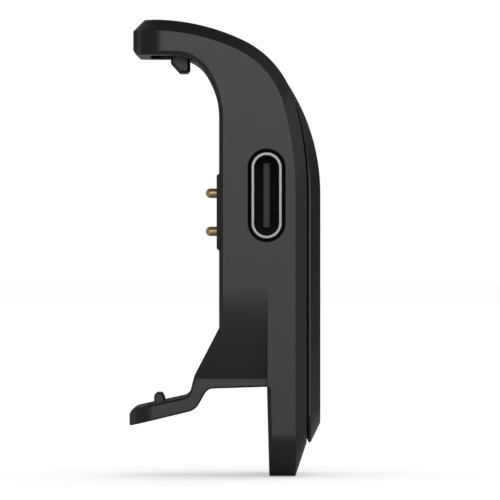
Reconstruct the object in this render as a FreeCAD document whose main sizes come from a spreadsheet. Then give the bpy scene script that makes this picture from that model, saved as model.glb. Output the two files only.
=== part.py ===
# Clip-on charging cradle for a golf GPS watch.
# Frame, in millimetres: the origin is the centre of the contact pad's face. +Z runs up the long axis of
# the clip, +X points away from the watch towards the outer cover, and the port opens in the -Y side.
import FreeCAD, Part
import math
import os
import Sketcher

os.makedirs("parts", exist_ok=True)
doc = FreeCAD.newDocument("ChargingClip")

SIZES = [
    # housing, side profile
    ("body_width", 16.0, "width over the two side faces"),
    ("body_depth", 9.40, "contact pad face to the outer face of the housing"),
    ("foot_drop", 27.58, "contact pad centre down to the underside of the foot"),
    ("pad_stand", 0.28, "how far the contact pad stands out of the contact wall"),
    ("rim_bevel", 1.16, "45 degree bevel round the outer face"),
    ("edge_bevel", 0.38, "45 degree bevel of the edges on the watch side"),
    ("foot_edge_bevel", 0.34, "bevel of the foot's inner edges"),
    ("jaw_edge_bevel", 0.20, "bevel of the jaw's upper edges"),
    ("jaw_under_bevel", 0.14, "bevel of the jaw's lower edges"),
    ("back_straight_top", 2.27, "height where the outer face starts to curve"),
    ("back_low_radius", 33.8, "radius of the first stretch of the outer curve"),
    ("back_low_turn", 16.0, "direction, in degrees, where the first stretch ends"),
    ("back_mid_radius", 10.0, "radius of the shoulder of the outer curve"),
    ("back_mid_turn", 64.6, "direction, in degrees, where the shoulder ends"),
    ("back_top_radius", 22.0, "radius of the stretch over the hook"),
    ("hook_reach", 8.69, "contact pad face out to the tip of the hook"),
    ("hook_corner_radius", 3.2, "plan radius of the two corners of the hook tip"),
    ("hook_tip_bevel", 0.55, "bevel under the tip of the hook"),
    ("throat_straight_top", 9.71, "height where the throat under the hook starts"),
    ("throat_low_radius", 9.12, "radius of the lower stretch of the throat"),
    ("throat_turn", 31.5, "direction, in degrees, where that stretch ends"),
    ("throat_corner_radius", 3.85, "radius of the inner corner of the throat"),
    # snap nubs
    ("nub_width", 5.0, "width of the snap nubs"),
    ("hook_nub_reach", 4.80, "contact pad face to the front of the hook nub"),
    ("hook_nub_length", 2.00, "length of the hook nub along the hook"),
    ("hook_nub_height", 1.72, "height of the hook nub"),
    ("hook_nub_slope", 0.92, "run of the sloping front of the hook nub"),
    ("jaw_nub_reach", 6.56, "contact pad face to the front of the jaw nub"),
    ("jaw_nub_length", 1.11, "length of the jaw nub along the jaw"),
    ("jaw_nub_drop", 18.92, "contact pad centre down to the top of the jaw nub"),
    ("nub_round", 0.28, "small bevels of the nub edges"),
    ("hook_nub_bevel", 0.25, "bevel of the hook nub's ends"),
    ("jaw_nub_bevel", 0.15, "bevel of the jaw nub's ends"),
    ("nub_root", 1.0, "how deep the hook nub is rooted in the hook"),
    ("hook_nub_rise", 1.01, "rise of the sloping front of the hook nub"),
    ("jaw_nub_root", 1.60, "top of the jaw nub down to its root in the jaw"),
    ("jaw_nub_flare", 0.15, "how far that root runs on behind the nub"),
    ("jaw_nub_lean", 0.03, "lean of the back of the jaw nub"),
    ("jaw_nub_back", 0.45, "height of the sloping back of the jaw nub"),
    ("jaw_nub_top", 0.82, "front of the jaw nub to the end of its flat top"),
    ("relief_depth", 0.45, "depth of the relief around the hook nub"),
    ("relief_front", 1.70, "hook tip to that relief"),
    ("relief_side", 2.60, "that relief past the ends of the nub"),
    ("relief_radius", 1.20, "corner radius of that relief"),
    ("jaw_relief_depth", 0.30, "depth of the relief behind the jaw nub"),
    ("relief_margin", 0.70, "jaw relief past the nub and short of the gusset"),
    # gusset, jaw and foot
    ("gusset_drop", 12.1, "contact pad centre down to the bend of the gusset"),
    ("gusset_reach", 2.32, "reach of the gusset at its lower end"),
    ("gusset_end_drop", 17.1, "height of that lower end, downwards"),
    ("jaw_root_reach", 2.87, "reach of the corner between gusset and jaw"),
    ("jaw_root_drop", 19.21, "height of that corner, downwards"),
    ("jaw_tilt", 12.1, "slope of the jaw's upper face in degrees"),
    ("jaw_reach", 9.11, "contact pad face out to the tip of the jaw"),
    ("jaw_tip_drop", 22.30, "contact pad centre down to the lowest corner of the jaw"),
    ("jaw_tip_bevel", 0.56, "bevel above the tip of the jaw"),
    ("jaw_half_width", 6.3, "half the width of the jaw"),
    ("jaw_corner_radius", 2.6, "plan radius of the two corners of the jaw tip"),
    ("jaw_bend_reach", 2.18, "reach of the lower bend under the jaw"),
    ("jaw_bend_drop", 20.62, "height of that bend, downwards"),
    ("bridge_reach", 0.92, "reach of the upper bend under the jaw"),
    ("bridge_drop", 18.40, "height of that bend, downwards"),
    ("foot_face_drop", 18.20, "contact pad centre down to the top of the foot's inner face"),
    ("foot_face_x", 5.28, "inner face of the foot at its top"),
    ("foot_sole_x", 5.52, "inner face of the foot at the sole"),
    ("jaw_root_round", 1.05, "radius between gusset and jaw"),
    ("jaw_bend_round", 1.60, "radius of the lower bend"),
    ("bridge_round", 1.00, "radius of the upper bend"),
    ("scoop_drop", 7.89, "contact pad centre down to where the flanks turn in"),
    ("scoop_end_drop", 17.35, "height where the flanks reach the jaw, downwards"),
    ("sole_corner_radius", 4.5, "corner radius of the foot seen from the back"),
    ("sole_bevel_drop", 3.53, "height of the bevel under the outer face"),
    ("sole_face_radius", 2.0, "corner radius of the outer face at the foot"),
    # hollow of the housing
    ("side_wall", 2.40, "thickness of the side walls"),
    ("contact_wall", 1.22, "thickness of the contact wall"),
    ("cavity_top", 8.90, "upper end of the electronics cavity"),
    ("cavity_drop", 11.0, "lower end of the electronics cavity, downwards"),
    ("cavity_corner_radius", 1.2, "corner radius of the electronics cavity"),
    # outer cover
    ("cover_gap", 0.18, "shadow gap between housing and cover"),
    ("cover_edge", 0.25, "height of the upright edge of the cover"),
    ("cover_crown", 1.00, "height of the bevelled crown of the cover"),
    ("cover_slope", 2.00, "run of the cover's bevel"),
    ("cover_corner_radius", 2.9, "corner radius at the foot of the cover"),
    ("cover_straight_top", 1.96, "height where the cover starts to curve"),
    ("cover_radius", 20.9, "radius of the curved stretch of the cover"),
    ("cover_blank", 2.00, "thickness of the cover's blank before it is hollowed"),
    ("cover_sweep", 60.0, "angle, in degrees, the blank is turned through"),
    ("rebate_turn", 15.4, "direction, in degrees, where the cover's seat starts"),
    ("rebate_end_turn", 28.6, "direction, in degrees, where the cover ends"),
    ("rebate_depth", 0.40, "depth of that seat under the outer face"),
    ("seat_clearance", 0.05, "play between the cover and its seat"),
    ("rib_wall", 0.80, "thickness of the locating rib inside the cover"),
    ("rib_depth", 1.20, "depth of the locating rib"),
    ("gasket_width", 0.60, "width of the cover gasket above the cavity"),
    ("gasket_inset", 0.35, "edge of the cover to the edge of the gasket"),
    # contact pad and sprung contacts
    ("pin_pitch", 4.00, "spacing of the four contacts both ways"),
    ("pad_margin", 2.00, "contact axis to the edge of the pad"),
    ("pad_bevel", 0.20, "bevel of the pad's face"),
    ("carrier_flange", 0.90, "flange behind the contact wall"),
    ("carrier_clearance", 0.05, "play of the pad in its window"),
    ("pin_radius", 0.49, "radius of a contact pin"),
    ("pin_stand", 1.15, "how far a pin stands out of the pad"),
    ("pin_collar_radius", 0.57, "radius of the collar that keeps the pin in"),
    ("pin_collar_length", 0.38, "length of that collar"),
    ("barrel_radius", 0.75, "outside radius of a pin's barrel"),
    ("barrel_bore", 0.60, "bore radius of the barrel"),
    ("barrel_mouth", 0.53, "bore radius at the barrel's turned-in mouth"),
    ("barrel_recess", 0.12, "mouth of the barrel below the pad's face"),
    ("barrel_lip", 0.28, "thickness of the turned-in mouth"),
    ("barrel_end", 0.28, "thickness of the barrel's closed end"),
    ("tail_radius", 0.30, "radius of the solder tail"),
    ("spring_wire", 0.12, "wire of a contact spring"),
    ("spring_turns", 5.0, "turns of a contact spring"),
    # circuit board
    ("board_thickness", 0.80, "thickness of the circuit board"),
    ("board_stand", 1.33, "cavity floor to the board"),
    ("board_clearance", 0.25, "play between board and side walls"),
    ("hole_clearance", 0.05, "radial play of holes in the board"),
    ("boss_radius", 1.25, "radius of a screw boss"),
    ("boss_inset", 2.00, "screw axis in from the side walls"),
    ("boss_end_inset", 2.05, "screw axis in from the ends of the cavity"),
    ("screw_radius", 0.50, "shank radius of a board screw"),
    ("screw_bite", 1.75, "length of screw inside its boss"),
    ("screw_head_radius", 1.10, "head radius of a board screw"),
    ("screw_head", 0.70, "head height of a board screw"),
    ("drive_width", 0.30, "width of the cross recess in a screw head"),
    ("drive_span", 1.30, "length of the cross recess"),
    ("drive_depth", 0.40, "depth of the cross recess"),
    # charging port
    ("port_height", 1.70, "centre of the port above the pad's centre"),
    ("shell_length", 8.94, "outside length of the port shell's mouth"),
    ("shell_height", 3.16, "outside height of the port shell's mouth"),
    ("shell_wall", 0.30, "wall of the port shell"),
    ("shell_depth", 7.30, "depth of the port shell"),
    ("port_gap", 0.37, "gap round the shell in the side face"),
    ("port_gasket_recess", 0.45, "gasket below the side face"),
    ("port_gasket_depth", 1.60, "depth of the port gasket"),
    ("tongue_width", 6.69, "width of the tongue in the port"),
    ("tongue_thickness", 0.70, "thickness of the tongue"),
    ("tongue_recess", 0.75, "front of the tongue below the mouth"),
    ("insulator_depth", 1.90, "depth of the insulator behind the tongue"),
    ("plate_width", 5.60, "width of the shield plate in the tongue"),
    ("plate_thickness", 0.15, "thickness of the shield plate"),
    ("plate_recess", 0.40, "front of the plate behind the front of the tongue"),
    ("contact_pitch", 0.50, "spacing of the contacts on the tongue"),
    ("contact_width", 0.25, "width of a contact"),
    ("contact_thickness", 0.06, "thickness of a contact"),
]

sheet = doc.addObject("Spreadsheet::Sheet", "Sizes")
for row, (alias, value, note) in enumerate(SIZES, start=1):
    sheet.set(f"A{row}", note)
    sheet.set(f"B{row}", str(value))
    sheet.setAlias(f"B{row}", alias)
doc.recompute()
# small parts on the board: name, (height, across, up), and the centres (across, up)
CHIPS = [
    ("chip_resistors", (0.35, 0.5, 1.0), [(1.0, -5.6), (2.2, -5.6), (3.4, -5.6), (4.6, -5.6)]),
    ("chip_capacitors", (0.50, 0.5, 1.0), [(1.0, -8.6), (2.2, -8.6), (3.4, -8.6), (4.6, -8.6)]),
    ("surge_diode", (0.90, 1.3, 2.9), [(3.4, -1.2)]),
    ("power_switch", (0.75, 2.0, 2.0), [(3.4, 2.6)]),
    ("resettable_fuse", (0.50, 1.6, 0.8), [(-3.4, -5.4)]),
]
WIRE_SIDES = 12
VALUES = {alias: value for alias, value, note in SIZES}


class Dim:
    """A length that carries its value and the sheet expression that it follows."""

    def __init__(self, value, text):
        self.value = value
        self.text = text

    def __add__(self, other):
        other = dim(other)
        return Dim(self.value + other.value, f"({self.text} + {other.text})")

    def __radd__(self, other):
        return dim(other) + self

    def __sub__(self, other):
        other = dim(other)
        return Dim(self.value - other.value, f"({self.text} - {other.text})")

    def __rsub__(self, other):
        return dim(other) - self

    def __mul__(self, other):
        other = dim(other)
        return Dim(self.value * other.value, f"({self.text} * {other.text})")

    def __rmul__(self, other):
        return dim(other) * self

    def __truediv__(self, other):
        other = dim(other)
        return Dim(self.value / other.value, f"({self.text} / {other.text})")

    def __neg__(self):
        return dim(0) - self


def dim(source):
    """A Dim from a name in the sheet, from a plain number or from a Dim."""
    if isinstance(source, Dim):
        return source
    if isinstance(source, str):
        return Dim(VALUES[source], f"Sizes.{source}")
    return Dim(float(source), repr(float(source)))


def sine(angle):
    return Dim(math.sin(math.radians(angle.value)), f"sin({angle.text})")


def cosine(angle):
    return Dim(math.cos(math.radians(angle.value)), f"cos({angle.text})")


def tangent(angle):
    return sine(angle) / cosine(angle)


# --- sketches and features -------------------------------------------------------------------------

def new_body(name):
    return doc.addObject("PartDesign::Body", name)


def origin_plane(body, role):
    return next(item for item in body.Origin.OriginFeatures if item.Role == role)


def new_sketch(body, name, role, level=0):
    """A sketch on an origin plane of its body. level is measured along +X, +Y or +Z."""
    sketch = body.newObject("Sketcher::SketchObject", name)
    sketch.AttachmentSupport = [(origin_plane(body, role), "")]
    sketch.MapMode = "FlatFace"
    level = dim(level)
    if role == "XZ_Plane":
        level = -level
    sketch.setExpression(".AttachmentOffset.Base.z", level.text)
    return sketch


def bind(sketch, kind, *where):
    """Adds one dimension to a sketch; the last item of where is its Dim."""
    length = where[-1]
    index = sketch.addConstraint(Sketcher.Constraint(kind, *where[:-1], length.value))
    sketch.setExpression(f"Constraints[{index}]", length.text)


def place_point(sketch, geometry, point, across, up):
    bind(sketch, "DistanceX", -1, 1, geometry, point, across)
    bind(sketch, "DistanceY", -1, 1, geometry, point, up)


def arc_between(start, end, radius):
    """The short arc from start to end; a positive radius has its centre on the left."""
    chord = end - start
    left = FreeCAD.Vector(-chord.y, chord.x, 0).normalize()
    offset = math.sqrt(max(radius ** 2 - (chord.Length / 2) ** 2, 0))
    centre = start + chord / 2 + left * math.copysign(offset, radius)
    first, last = (start, end) if radius > 0 else (end, start)
    angles = [math.atan2(point.y - centre.y, point.x - centre.x) for point in (first, last)]
    circle = Part.Circle(centre, FreeCAD.Vector(0, 0, 1), abs(radius))
    return Part.ArcOfCircle(circle, *angles)


def draw_outline(sketch, corners):
    """A closed outline. A corner is (across, up), or (across, up, radius) where an arc follows it."""
    base = sketch.GeometryCount
    corners = [tuple(dim(item) for item in corner) for corner in corners]
    ends = []
    for index, corner in enumerate(corners):
        following = corners[(index + 1) % len(corners)]
        start, end = [FreeCAD.Vector(item[0].value, item[1].value, 0) for item in (corner, following)]
        if len(corner) == 3:
            sketch.addGeometry(arc_between(start, end, corner[2].value))
            ends.append((1, 2) if corner[2].value > 0 else (2, 1))
        else:
            sketch.addGeometry(Part.LineSegment(start, end))
            ends.append((1, 2))
    for index in range(len(corners)):
        following = (index + 1) % len(corners)
        sketch.addConstraint(Sketcher.Constraint(
            "Coincident", base + index, ends[index][1], base + following, ends[following][0]))
    for index, corner in enumerate(corners):
        place_point(sketch, base + index, ends[index][0], corner[0], corner[1])
        if len(corner) == 3:
            radius = corner[2] if corner[2].value > 0 else -corner[2]
            bind(sketch, "Radius", base + index, radius)


def draw_circle(sketch, across, up, radius):
    across, up, radius = dim(across), dim(up), dim(radius)
    centre = FreeCAD.Vector(across.value, up.value, 0)
    geometry = sketch.addGeometry(Part.Circle(centre, FreeCAD.Vector(0, 0, 1), radius.value))
    place_point(sketch, geometry, 3, across, up)
    bind(sketch, "Radius", geometry, radius)


def rectangle(left, right, low, high):
    return [(left, low), (right, low), (right, high), (left, high)]


def rounded_rectangle(left, right, low, high, radius):
    left, right, low, high, radius = [dim(item) for item in (left, right, low, high, radius)]
    return [(left + radius, low), (right - radius, low, radius), (right, low + radius),
            (right, high - radius, radius), (right - radius, high), (left + radius, high, radius),
            (left, high - radius), (left, low + radius, radius)]


def racetrack(centre_across, centre_up, length, height):
    """Two half circles joined by straight sides, the long way up."""
    radius = height / 2
    half_straight = length / 2 - radius
    left, right = centre_across - radius, centre_across + radius
    low, high = centre_up - half_straight, centre_up + half_straight
    return [(right, low), (right, high, radius), (centre_across, high + radius, radius), (left, high),
            (left, low, radius), (centre_across, low - radius, radius)]


def finish_feature(feature, sketch, length, symmetric, flip):
    feature.Profile = sketch
    length = dim(length)
    feature.Length = length.value
    feature.setExpression("Length", length.text)
    feature.SideType = "Symmetric" if symmetric else "One side"
    feature.Reversed = flip
    return feature


def pad(body, sketch, length, symmetric=False, flip=False):
    feature = body.newObject("PartDesign::Pad", sketch.Name + "_pad")
    return finish_feature(feature, sketch, length, symmetric, flip)


def pocket(body, sketch, length, symmetric=False, flip=False):
    """Cuts away from the side the sketch faces, or towards it with flip. The cut has to bite."""
    doc.recompute()
    before = body.Tip.Shape.Volume
    feature = body.newObject("PartDesign::Pocket", sketch.Name + "_cut")
    finish_feature(feature, sketch, length, symmetric, flip)
    doc.recompute()
    if not feature.Shape.Volume < before - 1e-6:
        raise RuntimeError(f"{feature.Name} cuts nothing")
    return feature


def loft(body, name, first, second):
    doc.recompute()
    feature = body.newObject("PartDesign::AdditiveLoft", name)
    feature.Profile = first
    feature.Sections = [second]
    feature.Ruled = True
    return feature


def edges_where(shape, test):
    return [f"Edge{index}" for index, edge in enumerate(shape.Edges, start=1) if test(edge)]


def dress(body, kind, name, size, edges):
    """A PartDesign Chamfer or Fillet on named edges of the body's tip."""
    if not edges:
        raise RuntimeError(f"{name} finds no edges")
    base = body.Tip
    feature = body.newObject(f"PartDesign::{kind}", name)
    feature.Base = (base, edges)
    feature.setExpression("Size" if kind == "Chamfer" else "Radius", dim(size).text)
    doc.recompute()
    return feature


def boolean(kind, name, base, tool):
    feature = doc.addObject(f"Part::{kind}", name)
    feature.Base = base
    feature.Tool = tool
    return feature


def fuse(name, shapes):
    feature = doc.addObject("Part::MultiFuse", name)
    feature.Shapes = shapes
    feature.Refine = True
    return feature


def group(name, shapes):
    feature = doc.addObject("Part::Compound", name)
    feature.Links = shapes
    return feature


def box(name, low, high):
    """A box bound to its lowest and highest corners."""
    feature = doc.addObject("Part::Box", name)
    for axis, side, start, end in zip("xyz", ("Length", "Width", "Height"), low, high):
        start, end = dim(start), dim(end)
        feature.setExpression(side, (end - start).text)
        feature.setExpression(f".Placement.Base.{axis}", start.text)
    return feature


def near(value, target, tolerance=0.01):
    return abs(value - target) < tolerance


# --- places that several pieces share --------------------------------------------------------------

half_width = dim("body_width") / 2
back_x = dim("body_depth")
wall_x = dim("pad_stand")
floor_x = wall_x + dim("contact_wall")
board_x = floor_x + dim("board_stand")
board_top_x = board_x + dim("board_thickness")
cavity_half = half_width - dim("side_wall")
bevel_x = back_x - dim("rim_bevel")
face_half = half_width - dim("rim_bevel")
face_low = -(dim("foot_drop") - dim("sole_bevel_drop"))
cover_under_x = back_x + dim("cover_gap")
cover_edge_x = cover_under_x + dim("cover_edge")
cover_face_x = cover_edge_x + dim("cover_crown")
port_x = board_top_x + dim("shell_height") / 2
port_z = dim("port_height")
pin_places = {
    "upper_port": (-dim("pin_pitch") / 2, dim("pin_pitch") / 2),
    "upper_far": (dim("pin_pitch") / 2, dim("pin_pitch") / 2),
    "lower_port": (-dim("pin_pitch") / 2, -dim("pin_pitch") / 2),
    "lower_far": (dim("pin_pitch") / 2, -dim("pin_pitch") / 2),
}
screw_across = cavity_half - dim("boss_inset")
screw_places = [
    (screw_across, dim("cavity_top") - dim("boss_end_inset")),
    (-screw_across, dim("boss_end_inset") - dim("cavity_drop")),
]


def back_point(turn, offset=0):
    """A point of the housing's outer curve, in side view, moved outwards by offset."""
    turn, offset = dim(turn), dim(offset)
    low, middle = dim("back_low_radius"), dim("back_mid_radius")
    low_turn = dim("back_low_turn")
    centre_x = back_x - low
    centre_z = dim("back_straight_top")
    radius = low
    if turn.value > low_turn.value:
        centre_x = centre_x + (low - middle) * cosine(low_turn)
        centre_z = centre_z + (low - middle) * sine(low_turn)
        radius = middle
    if turn.value > VALUES["back_mid_turn"]:
        middle_turn, top = dim("back_mid_turn"), dim("back_top_radius")
        centre_x = centre_x + (middle - top) * cosine(middle_turn)
        centre_z = centre_z + (middle - top) * sine(middle_turn)
        radius = top
    return centre_x + (radius + offset) * cosine(turn), centre_z + (radius + offset) * sine(turn)


def throat_points():
    """The three corners of the throat under the hook: its foot, its middle joint and its upper end."""
    radius, corner, turn = dim("throat_low_radius"), dim("throat_corner_radius"), dim("throat_turn")
    foot = (wall_x, dim("throat_straight_top"))
    middle = (foot[0] - radius * (1 - cosine(turn)), foot[1] + radius * sine(turn))
    upper = (middle[0] - corner * cosine(turn), middle[1] + corner * (1 - sine(turn)))
    return foot, middle, upper


throat_foot, throat_middle, throat_upper = throat_points()
hook_under_z = throat_upper[1]
hook_top = back_point(Dim(90.0, "90"))


# --- main housing ----------------------------------------------------------------------------------

def side_profile():
    """The housing in side view: hook, back, gusset, jaw and foot, without the outer layer of the foot."""
    start = back_point(Dim(0.0, "0"))
    low_end = back_point("back_low_turn")
    mid_end = back_point("back_mid_turn")
    tip_x, tip_bevel = -dim("hook_reach"), dim("hook_tip_bevel")
    jaw_x, jaw_bevel = -dim("jaw_reach"), dim("jaw_tip_bevel")
    root = (-dim("jaw_root_reach"), -dim("jaw_root_drop"))
    jaw_top_z = root[1] - (dim("jaw_reach") - jaw_bevel - dim("jaw_root_reach")) * tangent(dim("jaw_tilt"))
    return [
        (*start, dim("back_low_radius")),
        (*low_end, dim("back_mid_radius")),
        (*mid_end, dim("back_top_radius")),
        hook_top,
        (tip_x + dim("rim_bevel"), hook_top[1]),
        (tip_x, hook_top[1] - dim("rim_bevel")),
        (tip_x, hook_under_z + tip_bevel),
        (tip_x + tip_bevel, hook_under_z),
        (*throat_upper, -dim("throat_corner_radius")),
        (*throat_middle, -dim("throat_low_radius")),
        throat_foot,
        (wall_x, -dim("gusset_drop")),
        (-dim("gusset_reach"), -dim("gusset_end_drop")),
        root,
        (jaw_x + jaw_bevel, jaw_top_z),
        (jaw_x, jaw_top_z - jaw_bevel),
        (jaw_x, -dim("jaw_tip_drop")),
        (-dim("jaw_bend_reach"), -dim("jaw_bend_drop")),
        (-dim("bridge_reach"), -dim("bridge_drop")),
        (dim("foot_face_x"), -dim("foot_face_drop")),
        (dim("foot_sole_x"), -dim("foot_drop")),
        (bevel_x, -dim("foot_drop")),
        (bevel_x, start[1]),
    ]


def foot_outline(half, low, top, radius):
    """The back view of the foot: square at its top, with round corners at the sole."""
    return [(-half, top), (-half, low + radius, radius), (-half + radius, low), (half - radius, low, radius),
            (half, low + radius), (half, top)]


def corner_outline(tip_x, side, half, radius):
    """The waste outside a round plan corner of an arm whose tip is at tip_x, on side -1 or 1."""
    return [(tip_x, side * (half - radius), -side * radius), (tip_x + radius, side * half),
            (tip_x + radius, side * (half + 1)), (tip_x - 1, side * (half + 1)),
            (tip_x - 1, side * (half - radius))]


def side_edges(shape, half, low_x, high_x, shortest, below=False):
    """Edges in the planes |y| = half that start at low_x and end between there and high_x."""
    def fits(edge):
        box_ = edge.BoundBox
        flat = near(abs(box_.YMin), half) and near(abs(box_.YMax), half)
        inside = near(box_.XMin, low_x.value) and box_.XMax < high_x.value + 0.01
        return flat and inside and edge.Length > shortest and (box_.ZMax < 0) == below
    return edges_where(shape, fits)


def bevel_foot_edge(body, name, side):
    """Runs the bevel of the foot's inner edge from the crease under the gusset to the sole."""
    top_z, low_z = -dim("foot_face_drop"), -dim("foot_drop")
    run = (dim("foot_sole_x") - dim("foot_face_x")) / (top_z - low_z)
    past = dim(1)
    path = new_sketch(body, f"foot_edge_path_{name}", "XZ_Plane", side * half_width)
    start, end = (dim("foot_face_x"), top_z), (dim("foot_sole_x") + run * past, low_z - past)
    path.addGeometry(Part.LineSegment(*[FreeCAD.Vector(point[0].value, point[1].value, 0)
                                        for point in (start, end)]))
    place_point(path, 0, 1, *start)
    place_point(path, 0, 2, *end)
    bevel = dim("foot_edge_bevel")
    section = new_sketch(body, f"foot_edge_section_{name}", "XY_Plane", top_z)
    draw_outline(section, [
        (start[0], side * (half_width - bevel)), (start[0] + bevel, side * half_width),
        (start[0] + bevel, side * (half_width + 1)), (start[0] - 1, side * (half_width + 1)),
        (start[0] - 1, side * (half_width - bevel))])
    cut_along(body, f"foot_edge_{name}", section, path)


def cut_along(body, name, section, path):
    doc.recompute()
    feature = body.newObject("PartDesign::SubtractivePipe", name)
    feature.Profile = section
    feature.Spine = (path, [f"Edge{index + 1}" for index in range(path.GeometryCount)])
    doc.recompute()


def bevel_rim(body, name, side):
    """Runs the bevel of the outer face along its curve, from the straight back to past the hook tip."""
    path = new_sketch(body, f"rim_path_{name}", "XZ_Plane", side * half_width)
    corners = [back_point(Dim(0.0, "0")), back_point("back_low_turn"), back_point("back_mid_turn"), hook_top,
               (-(dim("hook_reach") + 1), hook_top[1])]
    for index, radius in enumerate(("back_low_radius", "back_mid_radius", "back_top_radius")):
        start, end = [FreeCAD.Vector(point[0].value, point[1].value, 0) for point in corners[index:index + 2]]
        path.addGeometry(arc_between(start, end, VALUES[radius]))
        place_point(path, index, 1, *corners[index])
        place_point(path, index, 2, *corners[index + 1])
        bind(path, "Radius", index, dim(radius))
    start, end = [FreeCAD.Vector(point[0].value, point[1].value, 0) for point in corners[3:]]
    path.addGeometry(Part.LineSegment(start, end))
    place_point(path, 3, 1, *corners[3])
    place_point(path, 3, 2, *corners[4])
    section = new_sketch(body, f"rim_section_{name}", "XY_Plane", "back_straight_top")
    draw_outline(section, [
        (bevel_x, side * half_width), (back_x, side * face_half), (back_x + 1, side * face_half),
        (back_x + 1, side * (half_width + 1)), (bevel_x, side * (half_width + 1))])
    cut_along(body, f"rim_bevel_{name}", section, path)


def across_edges(shape, places):
    """Straight edges along Y at the given side-view places."""
    def fits(edge):
        box_ = edge.BoundBox
        return box_.YLength > 1 and box_.XLength < 0.01 and box_.ZLength < 0.01 and any(
            near(box_.XMin, x.value) and near(box_.ZMin, z.value) for x, z in places)
    return edges_where(shape, fits)


def make_housing():
    body = new_body("housing_shell")
    profile = new_sketch(body, "side_profile", "XZ_Plane")
    draw_outline(profile, side_profile())
    pad(body, profile, dim("body_width"), symmetric=True)
    doc.recompute()

    half = half_width.value
    for side, name in ((-1, "near"), (1, "far")):
        bevel_rim(body, name, side)

    # the bends between gusset, jaw and bridge
    for name, size, place in (
            ("jaw_root_bend", "jaw_root_round", (-dim("jaw_root_reach"), -dim("jaw_root_drop"))),
            ("jaw_lower_bend", "jaw_bend_round", (-dim("jaw_bend_reach"), -dim("jaw_bend_drop"))),
            ("bridge_bend", "bridge_round", (-dim("bridge_reach"), -dim("bridge_drop")))):
        dress(body, "Fillet", name, size, across_edges(body.Tip.Shape, [place]))

    # the flanks turn in below the port, so that the jaw is narrower than the body
    depth = half_width - dim("jaw_half_width")
    fall = dim("scoop_end_drop") - dim("scoop_drop")
    radius = (fall * fall + depth * depth) / (2 * depth)
    flanks = new_sketch(body, "flank_scoops", "YZ_Plane", dim("foot_face_x"))
    for side in (-1, 1):
        beyond = side * (half_width + 2)
        low = -(dim("foot_drop") + 2)
        draw_outline(flanks, [
            (side * half_width, -dim("scoop_drop"), -side * radius),
            (side * dim("jaw_half_width"), -dim("scoop_end_drop")),
            (side * dim("jaw_half_width"), low),
            (beyond, low),
            (beyond, -dim("scoop_drop")),
        ])
    pocket(body, flanks, dim("foot_face_x") + dim("jaw_reach") + 1)

    # bevelled edges on the watch side, which run on along every tangent edge
    dress(body, "Chamfer", "watch_side_edges", "edge_bevel",
          side_edges(body.Tip.Shape, half, wall_x, wall_x, 1))
    root_x = -dim("jaw_root_reach")
    dress(body, "Chamfer", "jaw_upper_edges", "jaw_edge_bevel", side_edges(
        body.Tip.Shape, VALUES["jaw_half_width"], -dim("jaw_reach") + dim("jaw_tip_bevel"),
        root_x - dim("jaw_root_round") / 2, 1, below=True))
    dress(body, "Chamfer", "jaw_lower_edges", "jaw_under_bevel", side_edges(
        body.Tip.Shape, VALUES["jaw_half_width"], -dim("jaw_reach"), -dim("jaw_bend_reach"), 5, below=True))

    # foot: round corners at the sole, and the bevelled outer layer up to the curve
    dress(body, "Fillet", "sole_corners", "sole_corner_radius", edges_where(
        body.Tip.Shape, lambda edge: near(edge.BoundBox.ZMax, -VALUES["foot_drop"])
        and near(abs(edge.BoundBox.YMin), half) and edge.BoundBox.XLength > 1
        and edge.BoundBox.YLength < 0.01))
    inner = new_sketch(body, "foot_layer_inner", "YZ_Plane", bevel_x)
    draw_outline(inner, foot_outline(half_width, -dim("foot_drop"), dim("back_straight_top"),
                                     dim("sole_corner_radius")))
    outer = new_sketch(body, "foot_layer_outer", "YZ_Plane", back_x)
    draw_outline(outer, foot_outline(face_half, face_low, dim("back_straight_top"), dim("sole_face_radius")))
    loft(body, "foot_layer", inner, outer)
    doc.recompute()

    for side, name in ((-1, "near"), (1, "far")):
        bevel_foot_edge(body, name, side)

    # shallow relief in the upper face of the jaw, from its nub back towards the gusset
    slope, depth = tangent(dim("jaw_tilt")), dim("jaw_relief_depth")
    front_x = -(dim("jaw_nub_reach") + dim("relief_margin"))
    rear_x = root_x - dim("relief_margin")
    front_z, rear_z = [(x - root_x) * slope - dim("jaw_root_drop") for x in (front_x, rear_x)]
    relief = new_sketch(body, "jaw_relief", "XZ_Plane")
    draw_outline(relief, [(front_x, front_z - depth), (rear_x, rear_z - depth), (rear_x, rear_z + 1),
                          (front_x, front_z + 1)])
    pocket(body, relief, dim("nub_width") + 4 * dim("relief_margin"), symmetric=True)

    # jaw tip corners in plan
    corners = new_sketch(body, "jaw_corners", "XY_Plane", -(dim("jaw_tip_drop") + 1))
    for side in (-1, 1):
        draw_outline(corners, corner_outline(-dim("jaw_reach"), side, dim("jaw_half_width"),
                                             dim("jaw_corner_radius")))
    pocket(body, corners, dim("jaw_tip_drop") - dim("jaw_root_drop") + 2, flip=True)

    # cavity for the electronics, open under the cover
    cavity = new_sketch(body, "cavity", "YZ_Plane", floor_x)
    draw_outline(cavity, rounded_rectangle(-cavity_half, cavity_half, -dim("cavity_drop"), dim("cavity_top"),
                                           dim("cavity_corner_radius")))
    pocket(body, cavity, dim("body_depth"), flip=True)

    # bosses for the board screws
    bosses = new_sketch(body, "screw_bosses", "YZ_Plane", floor_x)
    for across, up in screw_places:
        draw_circle(bosses, across, up, "boss_radius")
    pad(body, bosses, dim("board_stand"))
    pilots = new_sketch(body, "screw_pilots", "YZ_Plane", board_x)
    for across, up in screw_places:
        draw_circle(pilots, across, up, dim("screw_radius") + dim("hole_clearance") / 2)
    pocket(body, pilots, dim("screw_bite") + dim("hole_clearance") * 2)

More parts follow.
